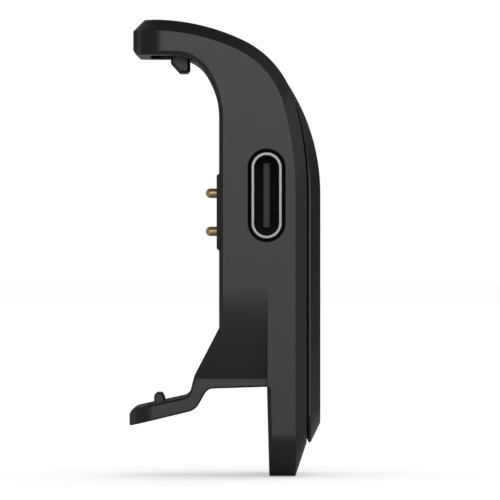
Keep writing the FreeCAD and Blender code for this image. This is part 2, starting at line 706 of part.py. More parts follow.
    # window of the contact pad and opening of the port
    window_half = dim("pin_pitch") / 2 + dim("pad_margin") + dim("carrier_clearance")
    window = new_sketch(body, "pad_window", "YZ_Plane", floor_x)
    draw_outline(window, rectangle(-window_half, window_half, -window_half, window_half))
    pocket(body, window, dim("contact_wall") + 1)
    port = new_sketch(body, "port_opening", "XZ_Plane", -cavity_half)
    draw_outline(port, racetrack(port_x, port_z, dim("shell_length") + 2 * dim("port_gap"),
                                 dim("shell_height") + 2 * dim("port_gap")))
    pocket(body, port, dim("side_wall") + 1, flip=True)

    # shallow relief in the underside of the hook, round its nub
    relief = new_sketch(body, "hook_relief", "XY_Plane", hook_under_z)
    nub_back = -(dim("hook_nub_reach") - dim("hook_nub_length"))
    relief_half = dim("nub_width") / 2 + dim("relief_side")
    draw_outline(relief, rounded_rectangle(
        dim("relief_front") - dim("hook_reach"), nub_back, -relief_half, relief_half, dim("relief_radius")))
    pocket(body, relief, dim("relief_depth"), flip=True)
    return body


def hook_corner_waste(side):
    """What is cut off one corner of the hook tip: all outside an upright cylinder with a bevelled top."""
    name = "near" if side < 0 else "far"
    radius, bevel = dim("hook_corner_radius"), dim("rim_bevel")
    centre_x, centre_y = radius - dim("hook_reach"), side * (half_width - radius)
    low, top = hook_under_z - 1, hook_top[1]
    core = new_body(f"hook_corner_{name}")
    sketch = new_sketch(core, f"hook_corner_{name}_outline", "XZ_Plane")
    draw_outline(sketch, [
        (dim(0), low), (radius, low), (radius, top - bevel), (radius - bevel, top), (dim(0), top)])
    feature = core.newObject("PartDesign::Revolution", f"hook_corner_{name}_turned")
    feature.Profile = sketch
    feature.ReferenceAxis = (sketch, ["V_Axis"])
    core.setExpression(".Placement.Base.x", centre_x.text)
    core.setExpression(".Placement.Base.y", centre_y.text)
    outside = side * (half_width + 1)
    low_y, high_y = (outside, centre_y) if side < 0 else (centre_y, outside)
    waste = box(f"hook_corner_{name}_block", (-(dim("hook_reach") + 1), low_y, low),
                (centre_x, high_y, top + 1))
    return boolean("Cut", f"hook_corner_{name}_waste", waste, core)


def make_nubs():
    """The snap nubs of hook and jaw, each with its foot inside the arm that carries it."""
    half = dim("nub_width") / 2
    small = dim("nub_round")
    front, length, slope = -dim("hook_nub_reach"), dim("hook_nub_length"), dim("hook_nub_slope")
    low, root = hook_under_z - dim("hook_nub_height"), hook_under_z + dim("nub_root")
    hook_nub = new_body("hook_nub")
    sketch = new_sketch(hook_nub, "hook_nub_profile", "XZ_Plane")
    draw_outline(sketch, [
        (front, root), (front, low + dim("hook_nub_rise")), (front + slope, low),
        (front + length - small, low), (front + length, low + small), (front + length, root)])
    pad(hook_nub, sketch, dim("nub_width"), symmetric=True)
    doc.recompute()
    dress(hook_nub, "Chamfer", "hook_nub_ends", "hook_nub_bevel", edges_where(
        hook_nub.Tip.Shape, lambda edge: near(abs(edge.BoundBox.YMin), half.value)
        and edge.BoundBox.YLength < 0.01 and edge.BoundBox.ZMin < hook_under_z.value))

    front, length, top = -dim("jaw_nub_reach"), dim("jaw_nub_length"), -dim("jaw_nub_drop")
    jaw_nub = new_body("jaw_nub")
    sketch = new_sketch(jaw_nub, "jaw_nub_profile", "XZ_Plane")
    foot = top - dim("jaw_nub_root")
    draw_outline(sketch, [
        (front, foot),
        (front + length + dim("jaw_nub_flare"), foot),
        (front + length - dim("jaw_nub_lean"), top - dim("jaw_nub_back")),
        (front + dim("jaw_nub_top"), top),
        (front + small, top),
        (front, top - small),
    ])
    pad(jaw_nub, sketch, dim("nub_width"), symmetric=True)
    doc.recompute()
    dress(jaw_nub, "Chamfer", "jaw_nub_ends", "jaw_nub_bevel", edges_where(
        jaw_nub.Tip.Shape, lambda edge: near(abs(edge.BoundBox.YMin), half.value)
        and edge.BoundBox.YLength < 0.01 and edge.BoundBox.ZMax > foot.value + 0.5))
    return [hook_nub, jaw_nub]


# --- outer cover and its seat ----------------------------------------------------------------------

def cover_roof(name, grow=0):
    """The cover before its underside is cut: a flat stretch and a curved one, both with bevelled sides."""
    grow = dim(grow)
    top = dim("cover_straight_top")
    body = new_body(name)
    levels = [
        (cover_under_x - dim("cover_blank"), face_half, face_low, dim("cover_corner_radius")),
        (cover_edge_x, face_half, face_low, dim("cover_corner_radius")),
        (cover_face_x, face_half - dim("cover_slope"), face_low + dim("cover_slope"),
         dim("cover_corner_radius") - dim("cover_slope") / 2),
    ]
    sketches = []
    for index, (level, half, low, radius) in enumerate(levels):
        sketch = new_sketch(body, f"{name}_level_{index}", "YZ_Plane", level)
        draw_outline(sketch, foot_outline(half + grow, low - grow, top, radius))
        sketches.append(sketch)
    pad(body, sketches[0], cover_edge_x - levels[0][0])
    loft(body, f"{name}_crown", sketches[1], sketches[2])

    section = new_sketch(body, f"{name}_section", "XY_Plane", top)
    half, shoulder = face_half + grow, face_half + grow - dim("cover_slope")
    inside_x = levels[0][0]
    draw_outline(section, [
        (inside_x, -half), (cover_edge_x, -half), (cover_face_x, -shoulder), (cover_face_x, shoulder),
        (cover_edge_x, half), (inside_x, half)])
    axis = new_sketch(body, f"{name}_axis", "XY_Plane", top)
    axis_x = cover_face_x - dim("cover_radius")
    axis.addGeometry(Part.LineSegment(FreeCAD.Vector(axis_x.value, -1, 0),
                                      FreeCAD.Vector(axis_x.value, 1, 0)))
    place_point(axis, 0, 1, axis_x, dim(-1))
    place_point(axis, 0, 2, axis_x, dim(1))
    doc.recompute()
    feature = body.newObject("PartDesign::Revolution", f"{name}_curve")
    feature.Profile = section
    feature.ReferenceAxis = (axis, ["Edge1"])
    feature.setExpression("Angle", dim("cover_sweep").text)
    feature.Reversed = True
    doc.recompute()
    if feature.Shape.BoundBox.ZMax < VALUES["cover_straight_top"] + 5:
        raise RuntimeError(f"{name} curves the wrong way")
    return body


def gap_radius():
    """Radius of the cover's underside over the curve. It closes the gap down to the play at the seat."""
    seat_x, seat_z = back_point(dim("rebate_turn"), dim("seat_clearance"))
    rise, run = seat_z - dim("back_straight_top"), cover_under_x - seat_x
    return (rise * rise + run * run) / (2 * run)


def under_cover(name):
    """What lies under the cover and past its upper end, in side view."""
    depth = -dim("rebate_depth")
    low_turn, seat_turn, end_turn = [
        dim(item) for item in ("back_low_turn", "rebate_turn", "rebate_end_turn")]
    body = new_body(name)
    sketch = new_sketch(body, f"{name}_profile", "XZ_Plane")
    end_out = back_point(end_turn, 6)
    draw_outline(sketch, [
        (cover_under_x, -(dim("foot_drop") + 5)),
        (cover_under_x, dim("back_straight_top"), gap_radius()),
        back_point(seat_turn, dim("seat_clearance")),
        (*back_point(seat_turn, depth), dim("back_low_radius") + depth),
        (*back_point(low_turn, depth), dim("back_mid_radius") + depth),
        back_point(end_turn, depth),
        end_out,
        (end_out[0], hook_top[1] + 5),
        (-dim("foot_face_x"), hook_top[1] + 5),
        (-dim("foot_face_x"), -(dim("foot_drop") + 5)),
    ])
    pad(body, sketch, dim("body_width") * 2, symmetric=True)
    return body


def seat_band(name):
    """The stretch of the outer face that is let in for the upper end of the cover."""
    play = dim("seat_clearance")
    depth = -(dim("rebate_depth") + play)
    play_turn = dim("cover_gap") + dim("seat_clearance")
    low_turn = dim("back_low_turn")
    seat_turn, end_turn = dim("rebate_turn") - play_turn, dim("rebate_end_turn") + play_turn
    body = new_body(name)
    sketch = new_sketch(body, f"{name}_profile", "XZ_Plane")
    draw_outline(sketch, [
        (*back_point(seat_turn, depth), dim("back_low_radius") + depth),
        (*back_point(low_turn, depth), dim("back_mid_radius") + depth),
        back_point(end_turn, depth),
        back_point(end_turn, 3),
        back_point(seat_turn, 3),
    ])
    pad(body, sketch, dim("body_width") * 2, symmetric=True)
    return body


def make_cover():
    cover = boolean("Cut", "cover_plate", cover_roof("cover_roof"), under_cover("under_cover"))
    rib_half = cavity_half - dim("carrier_clearance") * 3
    rib_low = dim("gasket_width") / 4 - dim("cavity_drop")
    rib_high = dim("cavity_top") - dim("gasket_width") / 4
    radius = dim("cavity_corner_radius") - dim("gasket_width") / 4
    wall = dim("rib_wall")
    rib = new_body("cover_rib")
    sketch = new_sketch(rib, "cover_rib_outline", "YZ_Plane", back_x - dim("rib_depth"))
    draw_outline(sketch, rounded_rectangle(-rib_half, rib_half, rib_low, rib_high, radius))
    draw_outline(sketch, rounded_rectangle(-rib_half + wall, rib_half - wall, rib_low + wall, rib_high - wall,
                                           radius / 3))
    pad(rib, sketch, dim("rib_depth") + dim("cover_gap") + dim("cover_edge") / 3)
    return fuse("outer_cover", [cover, rib])


def make_cover_gasket():
    """A flat gasket that fills the gap between housing and cover, round the cavity."""
    inside = dim("gasket_width") / 4
    top, inset = dim("cavity_top") + dim("gasket_width") + inside, dim("gasket_inset")
    ring = new_body("cover_gasket_ring")
    sketch = new_sketch(ring, "cover_gasket_outline", "YZ_Plane", floor_x)
    draw_outline(sketch, foot_outline(face_half - inset, face_low + inset, top,
                                      dim("cover_corner_radius") - inset))
    draw_outline(sketch, rounded_rectangle(
        -(cavity_half + inside), cavity_half + inside, -(dim("cavity_drop") + inside),
        dim("cavity_top") + inside, dim("cavity_corner_radius") + inside))
    pad(ring, sketch, dim("body_depth"))
    band = new_body("cover_gasket_band")
    sketch = new_sketch(band, "cover_gasket_profile", "XZ_Plane")
    turn, low = dim("rebate_turn"), -dim("foot_drop")
    draw_outline(sketch, [
        (back_x, low), (cover_under_x, low),
        (cover_under_x, dim("back_straight_top"), gap_radius()),
        back_point(turn, dim("seat_clearance")), (*back_point(turn), -dim("back_low_radius")),
        (back_x, dim("back_straight_top"))])
    pad(band, sketch, dim("body_width") * 2, symmetric=True)
    return boolean("Common", "cover_gasket", ring, band)


# --- contact pad with its sprung pins --------------------------------------------------------------

def make_carrier():
    pad_half = dim("pin_pitch") / 2 + dim("pad_margin")
    flange_half = pad_half + dim("carrier_flange")
    body = new_body("contact_carrier")
    face = new_sketch(body, "pad_outline", "YZ_Plane")
    draw_outline(face, rectangle(-pad_half, pad_half, -pad_half, pad_half))
    pad(body, face, floor_x)
    flange = new_sketch(body, "flange_outline", "YZ_Plane", floor_x)
    draw_outline(flange, rectangle(-flange_half, flange_half, -flange_half, flange_half))
    pad(body, flange, dim("board_stand"))
    doc.recompute()
    dress(body, "Chamfer", "pad_edges", "pad_bevel", edges_where(
        body.Tip.Shape, lambda edge: near(edge.BoundBox.XMax, 0)))
    holes = new_sketch(body, "barrel_holes", "YZ_Plane", board_x)
    for across, up in pin_places.values():
        draw_circle(holes, across, up, "barrel_radius")
    pocket(body, holes, board_x + 1)
    return body


def revolved_body(name, outline, across, up):
    """A turned piece: outline is (along X, radius) about an axis along X at the given place."""
    body = new_body(name)
    sketch = new_sketch(body, f"{name}_outline", "XY_Plane")
    draw_outline(sketch, outline)
    feature = body.newObject("PartDesign::Revolution", f"{name}_turned")
    feature.Profile = sketch
    feature.ReferenceAxis = (sketch, ["H_Axis"])
    body.setExpression(".Placement.Base.y", across.text)
    body.setExpression(".Placement.Base.z", up.text)
    return body


barrel_mouth_x = dim("barrel_recess")
bore_start_x = barrel_mouth_x + dim("barrel_lip")
bore_end_x = board_x - dim("barrel_end")
collar_start_x = bore_start_x + dim("hole_clearance") / 2
collar_end_x = collar_start_x + dim("pin_collar_length")


def make_barrel(place):
    across, up = pin_places[place]
    outside, bore, mouth, tail = [dim(item) for item in
                                  ("barrel_radius", "barrel_bore", "barrel_mouth", "tail_radius")]
    tail_end_x = board_top_x - dim("hole_clearance")
    return revolved_body(f"pin_barrel_{place}", [
        (barrel_mouth_x, mouth), (bore_start_x, mouth), (bore_start_x, bore), (bore_end_x, bore),
        (bore_end_x, dim(0)), (tail_end_x, dim(0)), (tail_end_x, tail), (board_x, tail),
        (board_x, outside), (barrel_mouth_x, outside)], across, up)


def make_pin(place):
    across, up = pin_places[place]
    radius, collar, tip_x = dim("pin_radius"), dim("pin_collar_radius"), -dim("pin_stand")
    return revolved_body(f"contact_pin_{place}", [
        (tip_x, dim(0)), (collar_end_x, dim(0)), (collar_end_x, collar), (collar_start_x, collar),
        (collar_start_x, radius), (tip_x + radius, radius, radius)], across, up)


def make_spring(place):
    """A coil whose centre line is a helix, with its size taken from the bore that holds it. The wire is
    drawn with flats, which keep its thickness true in the finest mesh."""
    across, up = pin_places[place]
    wire = dim("spring_wire")
    length = bore_end_x - collar_end_x - wire
    coil_radius = dim("barrel_bore") - wire / 2 - dim("hole_clearance")
    helix = doc.addObject("Part::Helix", f"spring_path_{place}")
    helix.setExpression("Radius", coil_radius.text)
    helix.setExpression("Pitch", (length / dim("spring_turns")).text)
    helix.setExpression("Height", length.text)
    wire_section = doc.addObject("Part::RegularPolygon", f"spring_section_{place}")
    wire_section.Polygon = WIRE_SIDES
    wire_section.setExpression("Circumradius", (wire / 2).text)
    wire_section.Placement.Rotation = FreeCAD.Rotation(FreeCAD.Vector(1, 0, 0), 90)
    wire_section.setExpression(".Placement.Base.x", coil_radius.text)
    spring = doc.addObject("Part::Sweep", f"pin_spring_{place}")
    spring.Sections = [wire_section]
    doc.recompute()
    spring.Spine = (helix, [f"Edge{index + 1}" for index in range(len(helix.Shape.Edges))])
    spring.Solid = True
    spring.Frenet = True
    spring.Placement.Rotation = FreeCAD.Rotation(FreeCAD.Vector(0, 1, 0), 90)
    for axis, start in zip("xyz", (collar_end_x + wire / 2, across, up)):
        spring.setExpression(f".Placement.Base.{axis}", start.text)
    return spring


# --- circuit board and what is on it ---------------------------------------------------------------

def make_board():
    clearance = dim("board_clearance")
    body = new_body("circuit_board")
    outline = new_sketch(body, "board_outline", "YZ_Plane", board_x)
    draw_outline(outline, rounded_rectangle(
        clearance - cavity_half, cavity_half - clearance, clearance * 2 - dim("cavity_drop"),
        dim("cavity_top") - clearance * 2, dim("cavity_corner_radius") - clearance))
    for across, up in pin_places.values():
        draw_circle(outline, across, up, dim("tail_radius") + dim("hole_clearance"))
    for across, up in screw_places:
        draw_circle(outline, across, up, dim("screw_radius") + dim("hole_clearance"))
    pad(body, outline, dim("board_thickness"))
    return body


def make_screws():
    screws = []
    for index, (across, up) in enumerate(screw_places, start=1):
        radius, head = dim("screw_radius"), dim("screw_head_radius")
        head_end_x = board_top_x + dim("screw_head")
        blank = revolved_body(f"screw_blank_{index}", [
            (board_x - dim("screw_bite"), dim(0)), (head_end_x, dim(0)),
            (head_end_x, head - dim("screw_head") / 4), (head_end_x - dim("screw_head") / 4, head),
            (board_top_x, head), (board_top_x, radius),
            (board_x - dim("screw_bite") + radius / 2, radius), (board_x - dim("screw_bite"), radius / 2)],
            across, up)
        span, width = dim("drive_span") / 2, dim("drive_width") / 2
        depth_x = head_end_x - dim("drive_depth")
        slots = [
            box(f"drive_slot_{index}_{way}", (depth_x, across - half_y, up - half_z),
                (head_end_x + 1, across + half_y, up + half_z))
            for way, half_y, half_z in (("across", span, width), ("up", width, span))]
        cross = fuse(f"drive_cross_{index}", slots)
        screws.append(boolean("Cut", f"screw_{index}", blank, cross))
    return group("board_screws", screws)


def make_chips(name, size, places):
    """Small parts soldered on the outer face of the board, each a block of size (height, across, up)."""
    chips = []
    for index, (across, up) in enumerate(places, start=1):
        height, wide, tall = [dim(item) for item in size]
        label = f"{name}_{index}" if len(places) > 1 else name
        chips.append(box(label, (board_top_x, dim(across) - wide / 2, dim(up) - tall / 2),
                         (board_top_x + height, dim(across) + wide / 2, dim(up) + tall / 2)))
    return group(name, chips) if len(chips) > 1 else chips[0]


# --- charging port ---------------------------------------------------------------------------------

mouth_y = -half_width
shell_end_y = mouth_y + dim("shell_depth")
tongue_front_y = mouth_y + dim("tongue_recess")
tongue_root_y = shell_end_y - dim("insulator_depth")


def racetrack_pad(name, start_y, end_y, outlines):
    """Racetrack outlines, each (length, height), as one pad along Y round the port's axis."""
    body = new_body(name)
    sketch = new_sketch(body, f"{name}_outline", "XZ_Plane", end_y)
    for length, height in outlines:
        draw_outline(sketch, racetrack(port_x, port_z, length, height))
    pad(body, sketch, end_y - start_y)
    return body


def make_port():
    length, height, wall = dim("shell_length"), dim("shell_height"), dim("shell_wall")
    inside = (length - 2 * wall, height - 2 * wall)
    shell = racetrack_pad("usb_shell", mouth_y, shell_end_y, [(length, height), inside])

    block = racetrack_pad("usb_insulator_block", tongue_root_y, shell_end_y, [inside])
    half_tall, half_thick = dim("tongue_width") / 2, dim("tongue_thickness") / 2
    tongue = box("usb_tongue_bar", (port_x - half_thick, tongue_front_y, port_z - half_tall),
                 (port_x + half_thick, tongue_root_y, port_z + half_tall))
    plate_half, plate_thin = dim("plate_width") / 2, dim("plate_thickness") / 2
    plate_low = (port_x - plate_thin, tongue_front_y + dim("plate_recess"), port_z - plate_half)
    plate_high = (port_x + plate_thin, shell_end_y, port_z + plate_half)
    plate = box("usb_shield_plate", plate_low, plate_high)
    slot = box("usb_plate_slot", plate_low, plate_high)
    insulator = boolean("Cut", "usb_insulator", fuse("usb_insulator_blank", [block, tongue]), slot)

    contacts = []
    row_count = 12
    thick, pitch, half = dim("contact_thickness"), dim("contact_pitch"), dim("contact_width") / 2
    for side, edge_x in (("inner", port_x - half_thick - thick), ("outer", port_x + half_thick)):
        for index in range(row_count):
            centre = port_z + pitch * (index - (row_count - 1) / 2)
            contacts.append(box(f"usb_contact_{side}_{index + 1}",
                                (edge_x, tongue_front_y + dim("plate_recess"), centre - half),
                                (edge_x + thick, tongue_root_y, centre + half)))
    gap = dim("port_gap")
    gasket_y = mouth_y + dim("port_gasket_recess")
    gasket = racetrack_pad("port_gasket", gasket_y, gasket_y + dim("port_gasket_depth"),
                           [(length + 2 * gap, height + 2 * gap), (length, height)])
    return [shell, insulator, plate, group("usb_contacts", contacts), gasket]


# --- assembly --------------------------------------------------------------------------------------

housing_blank = fuse("housing_blank", [make_housing(), *make_nubs()])
cover_seat = boolean("Common", "cover_seat", cover_roof("seat_roof", "seat_clearance"),
                     seat_band("seat_band"))
housing_waste = fuse("housing_waste", [cover_seat, hook_corner_waste(-1), hook_corner_waste(1)])
nodes = [boolean("Cut", "main_housing", housing_blank, housing_waste), make_cover(), make_cover_gasket(),
         make_carrier()]
for place_name in pin_places:
    nodes += [make_pin(place_name), make_spring(place_name), make_barrel(place_name)]
nodes += [make_board(), make_screws()]
nodes += make_port()
nodes += [make_chips(*chip) for chip in CHIPS]
doc.recompute()

broken = [item.Name for item in doc.Objects if "Invalid" in item.State or "Error" in item.State]
if broken:
    raise RuntimeError(f"objects that failed: {broken}")
for node in nodes:
    if node.Shape.isNull() or not node.Shape.isValid() or not node.Shape.Solids:
        raise RuntimeError(f"{node.Label} has no valid solid")
for node in nodes:
    node.Shape.exportStep(f"parts/{node.Label}.step")
    print(f"{node.Label}: {len(node.Shape.Solids)} solid(s), {node.Shape.Volume:.2f} mm3")
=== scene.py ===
# Looks of a clip-on charging cradle: camera, studio and one material for each finish.
import math
import bpy
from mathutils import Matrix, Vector


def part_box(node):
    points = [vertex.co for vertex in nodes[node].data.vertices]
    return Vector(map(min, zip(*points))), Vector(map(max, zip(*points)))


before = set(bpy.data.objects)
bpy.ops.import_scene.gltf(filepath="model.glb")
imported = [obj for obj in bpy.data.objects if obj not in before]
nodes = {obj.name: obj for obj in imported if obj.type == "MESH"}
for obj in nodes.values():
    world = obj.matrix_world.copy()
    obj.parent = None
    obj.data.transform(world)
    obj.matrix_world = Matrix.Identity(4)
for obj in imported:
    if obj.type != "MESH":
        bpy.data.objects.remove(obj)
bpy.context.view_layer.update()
print("frame loaded:", len(nodes), "pieces")

# the camera looks square on at the side with the port
cameraSet = {
    "target": (0.00349, -0.008, -0.00396),  # on the near side face
    "distance": 0.540,
    "lens": 375.0,
    "sensor": 36.0,
    "clip": (0.01, 20.0),
}
cameraData = bpy.data.cameras.new("productCamera")
cameraData.lens = cameraSet["lens"]
cameraData.sensor_width = cameraSet["sensor"]
cameraData.clip_start, cameraData.clip_end = cameraSet["clip"]
cameraData.dof.use_dof = False
camera = bpy.data.objects.new("productCamera", cameraData)
camera.location = Vector(cameraSet["target"]) - Vector((0, cameraSet["distance"], 0))
camera.rotation_euler = (math.radians(90), 0, 0)
bpy.context.scene.collection.objects.link(camera)
bpy.context.scene.camera = camera
bpy.context.scene.view_settings.view_transform = "Standard"
print("camera placed")


# clears a node tree and gives back a function that adds a node with values on its inputs
def newTree(tree):
    nodeSpacing = 180
    tree.nodes.clear()

    def add(kind, values=None, **settings):
        node = tree.nodes.new(kind)
        node.location = ((len(tree.nodes) - 1) * nodeSpacing, 0)
        for key, value in settings.items():
            setattr(node, key, value)
        for key, value in (values or {}).items():
            node.inputs[key].default_value = value
        return node

    return add


# a shader node group with its sockets: gives back the group, its adder and its two end nodes
def newGroup(name, inputs, outputs):
    group = bpy.data.node_groups.new(name, "ShaderNodeTree")
    for side, sockets in (("INPUT", inputs), ("OUTPUT", outputs)):
        for label, kind, value in sockets:
            socket = group.interface.new_socket(
                label, in_out=side, socket_type="NodeSocket" + kind)
            if value is not None:
                socket.default_value = value
    add = newTree(group)
    return group, add, add("NodeGroupInput"), add("NodeGroupOutput")


skinOutputs = [
    ("Colour", "Color", None),
    ("Roughness", "Float", None),
    ("Height", "Float", None),
]

mouldedNoise = {
    "tone": {"Detail": 3.0, "Roughness": 0.55},
    "grain": {"Detail": 2.0, "Roughness": 0.6},
    "middle": 0.5,  # of a noise value
}


# grain and tone of a moulded surface
def buildMouldedSkin():
    group, add, start, end = newGroup(
        "mouldedSkin",
        [
            ("Colour", "Color", (0.01, 0.01, 0.01, 1)),
            ("Tone Spread", "Float", 0.1),
            ("Tone Size", "Float", 120.0),
            ("Grain Size", "Float", 9000.0),
            ("Grain Bite", "Float", 0.5),
            ("Roughness", "Float", 0.4),
            ("Roughness Spread", "Float", 0.06),
        ],
        skinOutputs,
    )
    link = group.links.new
    place = add("ShaderNodeTexCoord")
    tone = add("ShaderNodeTexNoise", mouldedNoise["tone"])
    grain = add("ShaderNodeTexNoise", mouldedNoise["grain"])
    pits = add("ShaderNodeTexVoronoi", feature="SMOOTH_F1")
    for texture, size in ((tone, "Tone Size"), (grain, "Grain Size"), (pits, "Grain Size")):
        link(place.outputs["Object"], texture.inputs["Vector"])
        link(start.outputs[size], texture.inputs["Scale"])

    # colour, a little lighter or darker from place to place
    centred = add("ShaderNodeMath", {1: mouldedNoise["middle"]}, operation="SUBTRACT")
    link(tone.outputs["Fac"], centred.inputs[0])
    shift = add("ShaderNodeMath", {2: 1.0}, operation="MULTIPLY_ADD")
    link(centred.outputs[0], shift.inputs[0])
    link(start.outputs["Tone Spread"], shift.inputs[1])
    tinted = add("ShaderNodeVectorMath", operation="SCALE")
    link(start.outputs["Colour"], tinted.inputs[0])
    link(shift.outputs[0], tinted.inputs["Scale"])
    link(tinted.outputs[0], end.inputs["Colour"])

    rough = add("ShaderNodeMath", operation="MULTIPLY_ADD")
    link(centred.outputs[0], rough.inputs[0])
    link(start.outputs["Roughness Spread"], rough.inputs[1])
    link(start.outputs["Roughness"], rough.inputs[2])
    link(rough.outputs[0], end.inputs["Roughness"])

    # grain of the mould and its pits
    blend = add("ShaderNodeMath", operation="ADD")
    link(grain.outputs["Fac"], blend.inputs[0])
    link(pits.outputs["Distance"], blend.inputs[1])
    height = add("ShaderNodeMath", operation="MULTIPLY")
    link(blend.outputs[0], height.inputs[0])
    link(start.outputs["Grain Bite"], height.inputs[1])
    link(height.outputs[0], end.inputs["Height"])
    return group


softEdgeSamples = 6


# rounded and slightly polished edges
def buildSoftEdge():
    group, add, start, end = newGroup(
        "softEdge",
        [("Radius", "Float", 0.00008), ("Reach", "Float", 4.0)],
        [("Normal", "Vector", None), ("Edge", "Float", None)],
    )
    link = group.links.new
    rounded = add("ShaderNodeBevel", samples=softEdgeSamples)
    surface = add("ShaderNodeNewGeometry")
    link(start.outputs["Radius"], rounded.inputs["Radius"])
    link(rounded.outputs["Normal"], end.inputs["Normal"])
    match = add("ShaderNodeVectorMath", operation="DOT_PRODUCT")
    link(rounded.outputs["Normal"], match.inputs[0])
    link(surface.outputs["Normal"], match.inputs[1])
    apart = add("ShaderNodeMath", {0: 1.0}, operation="SUBTRACT")
    link(match.outputs["Value"], apart.inputs[1])
    edge = add("ShaderNodeMath", operation="MULTIPLY", use_clamp=True)
    link(apart.outputs[0], edge.inputs[0])
    link(start.outputs["Reach"], edge.inputs[1])
    link(edge.outputs[0], end.inputs["Edge"])
    return group


metalNoise = {
    "lines": {"Detail": 3.0},
    "clouds": {"Scale": 900.0, "Detail": 2.0},
    "middle": 0.5,
}


# drawn or plated metal
def buildMetalSkin():
    group, add, start, end = newGroup(
        "metalSkin",
        [
            ("Colour", "Color", (0.6, 0.6, 0.6, 1)),
            ("Tarnish", "Color", (0.3, 0.3, 0.3, 1)),
            ("Tarnish Amount", "Float", 0.2),
            ("Stretch", "Vector", (1.0, 1.0, 1.0)),
            ("Line Size", "Float", 4000.0),
            ("Roughness", "Float", 0.25),
            ("Roughness Spread", "Float", 0.1),
        ],
        skinOutputs,
    )
    link = group.links.new
    place = add("ShaderNodeTexCoord")
    stretch = add("ShaderNodeVectorMath", operation="MULTIPLY")
    link(place.outputs["Object"], stretch.inputs[0])
    link(start.outputs["Stretch"], stretch.inputs[1])
    lines = add("ShaderNodeTexNoise", metalNoise["lines"])
    link(stretch.outputs[0], lines.inputs["Vector"])
    link(start.outputs["Line Size"], lines.inputs["Scale"])

    # tarnish lies in soft clouds
    clouds = add("ShaderNodeTexNoise", metalNoise["clouds"])
    link(place.outputs["Object"], clouds.inputs["Vector"])
    amount = add("ShaderNodeMath", operation="MULTIPLY", use_clamp=True)
    link(clouds.outputs["Fac"], amount.inputs[0])
    link(start.outputs["Tarnish Amount"], amount.inputs[1])
    colour = add("ShaderNodeMix", data_type="RGBA")
    link(amount.outputs[0], colour.inputs["Factor"])
    link(start.outputs["Colour"], colour.inputs["A"])
    link(start.outputs["Tarnish"], colour.inputs["B"])
    link(colour.outputs["Result"], end.inputs["Colour"])

    centred = add("ShaderNodeMath", {1: metalNoise["middle"]}, operation="SUBTRACT")
    link(lines.outputs["Fac"], centred.inputs[0])
    rough = add("ShaderNodeMath", operation="MULTIPLY_ADD")
    link(centred.outputs[0], rough.inputs[0])
    link(start.outputs["Roughness Spread"], rough.inputs[1])
    link(start.outputs["Roughness"], rough.inputs[2])
    link(rough.outputs[0], end.inputs["Roughness"])
    link(lines.outputs["Fac"], end.inputs["Height"])
    return group


mouldedSkin = buildMouldedSkin()
softEdge = buildSoftEdge()
metalSkin = buildMetalSkin()
print("shared effects built")


def placeGroup(add, group, values):
    node = add("ShaderNodeGroup", node_tree=group)
    for key, value in values.items():
        node.inputs[key].default_value = value
    return node


# group input and the look's value that goes on it
mouldedInputs = {
    "Colour": "colour",
    "Tone Spread": "toneSpread",
    "Tone Size": "toneSize",
    "Grain Size": "grainSize",
    "Grain Bite": "grainBite",
    "Roughness": "roughness",
    "Roughness Spread": "roughnessSpread",
}
metalInputs = {
    "Colour": "colour",
    "Tarnish": "tarnish",
    "Tarnish Amount": "tarnishAmount",
    "Stretch": "stretch",
    "Line Size": "lineSize",
    "Roughness": "roughness",
    "Roughness Spread": "roughnessSpread",
}


# paints shade into a colour, darker with depth inside the port
def addPaintedPortShade(add, link, colour, look):
    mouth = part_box("usb_insulator")[0].y
    place = add("ShaderNodeTexCoord")
    parts = add("ShaderNodeSeparateXYZ")
    share = add("ShaderNodeMapRange", {
        "From Min": mouth + look["paintedShadeFrom"],
        "From Max": mouth + look["paintedShadeTo"],
    })
    paintedShade = add("ShaderNodeMix", {"B": look["paintedShadeColour"]}, data_type="RGBA")
    link(place.outputs["Object"], parts.inputs[0])
    link(parts.outputs["Y"], share.inputs["Value"])
    link(share.outputs["Result"], paintedShade.inputs["Factor"])
    link(colour, paintedShade.inputs["A"])
    return paintedShade.outputs["Result"]


# a look with a tarnish colour is a metal, any other is moulded
def makeFinish(name, look):
    metal = "tarnish" in look
    material = bpy.data.materials.new(name)
    material.use_nodes = True
    material.diffuse_color = look["colour"]
    link = material.node_tree.links.new
    add = newTree(material.node_tree)
    group, labels = (metalSkin, metalInputs) if metal else (mouldedSkin, mouldedInputs)
    skin = placeGroup(add, group, {label: look[key] for label, key in labels.items()})
    edge = placeGroup(add, softEdge, {"Radius": look["edgeRadius"], "Reach": look["edgeReach"]})
    # edges take the edge colour: real tinned ends and bare laminate on the capacitors and
    # board, elsewhere a painted edge highlight where it is lighter than the face and painted
    # edge shade where it is darker
    edgeTintAndPaintedEdgeLight = add("ShaderNodeMix", {"B": look["edgeColour"]}, data_type="RGBA")
    link(edge.outputs["Edge"], edgeTintAndPaintedEdgeLight.inputs["Factor"])
    link(skin.outputs["Colour"], edgeTintAndPaintedEdgeLight.inputs["A"])
    colour = edgeTintAndPaintedEdgeLight.outputs["Result"]
    # painted shade deep in the port, on the looks that have it
    if "paintedShadeColour" in look:
        colour = addPaintedPortShade(add, link, colour, look)
    polish = add("ShaderNodeMath", {1: -look["edgePolish"]}, operation="MULTIPLY_ADD")
    link(edge.outputs["Edge"], polish.inputs[0])
    link(skin.outputs["Roughness"], polish.inputs[2])
    bump = add("ShaderNodeBump", {
        "Strength": look["bumpStrength"],
        "Distance": look["bumpDepth"],
    })
    link(skin.outputs["Height"], bump.inputs["Height"])
    link(edge.outputs["Normal"], bump.inputs["Normal"])
    shader = add("ShaderNodeBsdfPrincipled", {
        "Metallic": 1.0 if metal else 0.0,
        "IOR": 1.5,
        "Specular IOR Level": look["specular"],
    })
    link(colour, shader.inputs["Base Color"])
    link(polish.outputs[0], shader.inputs["Roughness"])
    link(bump.outputs["Normal"], shader.inputs["Normal"])
    output = add("ShaderNodeOutputMaterial")
    link(shader.outputs["BSDF"], output.inputs["Surface"])
    return material


